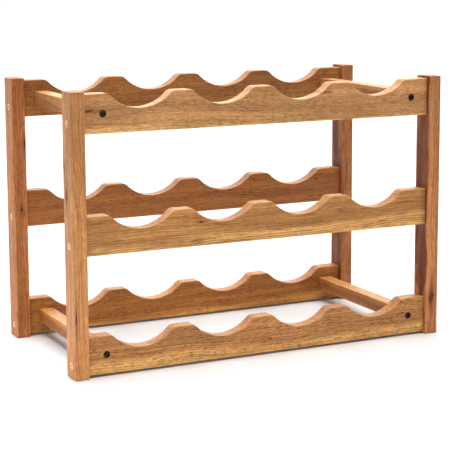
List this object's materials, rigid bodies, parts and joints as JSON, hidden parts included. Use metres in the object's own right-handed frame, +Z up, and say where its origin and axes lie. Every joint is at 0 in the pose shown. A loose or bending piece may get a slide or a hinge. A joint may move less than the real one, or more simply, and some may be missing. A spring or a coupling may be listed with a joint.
{
  "type": "wine rack",
  "caption": "Free-standing wooden wine rack: posts hold tiers of scalloped front and rear rails that cradle bottles lying on their sides, tied by short crossbars.",
  "frame": {"origin": "on the floor, under the middle of the rack", "axes": "+X to the right along the rails, +Y from the front rails to the rear rails, +Z up"},
  "size_m": [0.425, 0.21, 0.286],
  "materials": {
    "post_wood": "oiled reddish-brown hardwood, satin",
    "rail_wood": "oiled golden-brown hardwood, satin",
    "crossbar_wood": "oiled light golden hardwood, satin",
    "dowel_wood": "raw beech",
    "post_screw_metal": "satin, slightly tarnished",
    "crossbar_screw_metal": "blackened, satin"
  },
  "bodies": {
    "root": {"crossbar_bottom_left": "crossbar_wood", "crossbar_bottom_right": "crossbar_wood", "crossbar_screw_bottom_front_left": "crossbar_screw_metal", "crossbar_screw_bottom_front_right": "crossbar_screw_metal", "crossbar_screw_bottom_rear_left": "crossbar_screw_metal", "crossbar_screw_bottom_rear_right": "crossbar_screw_metal", "crossbar_screw_top_front_left": "crossbar_screw_metal", "crossbar_screw_top_front_right": "crossbar_screw_metal", "crossbar_screw_top_rear_left": "crossbar_screw_metal", "crossbar_screw_top_rear_right": "crossbar_screw_metal", "crossbar_top_left": "crossbar_wood", "crossbar_top_right": "crossbar_wood", "dowel_bottom_front_left": "dowel_wood", "dowel_bottom_front_right": "dowel_wood", "dowel_bottom_rear_left": "dowel_wood", "dowel_bottom_rear_right": "dowel_wood", "dowel_middle_front_left": "dowel_wood", "dowel_middle_front_right": "dowel_wood", "dowel_middle_rear_left": "dowel_wood", "dowel_middle_rear_right": "dowel_wood", "dowel_top_front_left": "dowel_wood", "dowel_top_front_right": "dowel_wood", "dowel_top_rear_left": "dowel_wood", "dowel_top_rear_right": "dowel_wood", "post_front_left": "post_wood", "post_front_right": "post_wood", "post_rear_left": "post_wood", "post_rear_right": "post_wood", "post_screw_bottom_front_left": "post_screw_metal", "post_screw_bottom_front_right": "post_screw_metal", "post_screw_bottom_rear_left": "post_screw_metal", "post_screw_bottom_rear_right": "post_screw_metal", "post_screw_middle_front_left": "post_screw_metal", "post_screw_middle_front_right": "post_screw_metal", "post_screw_middle_rear_left": "post_screw_metal", "post_screw_middle_rear_right": "post_screw_metal", "post_screw_top_front_left": "post_screw_metal", "post_screw_top_front_right": "post_screw_metal", "post_screw_top_rear_left": "post_screw_metal", "post_screw_top_rear_right": "post_screw_metal", "rail_bottom_front": "rail_wood", "rail_bottom_rear": "rail_wood", "rail_middle_front": "rail_wood", "rail_middle_rear": "rail_wood", "rail_top_front": "rail_wood", "rail_top_rear": "rail_wood"}
  },
  "joints": []
}
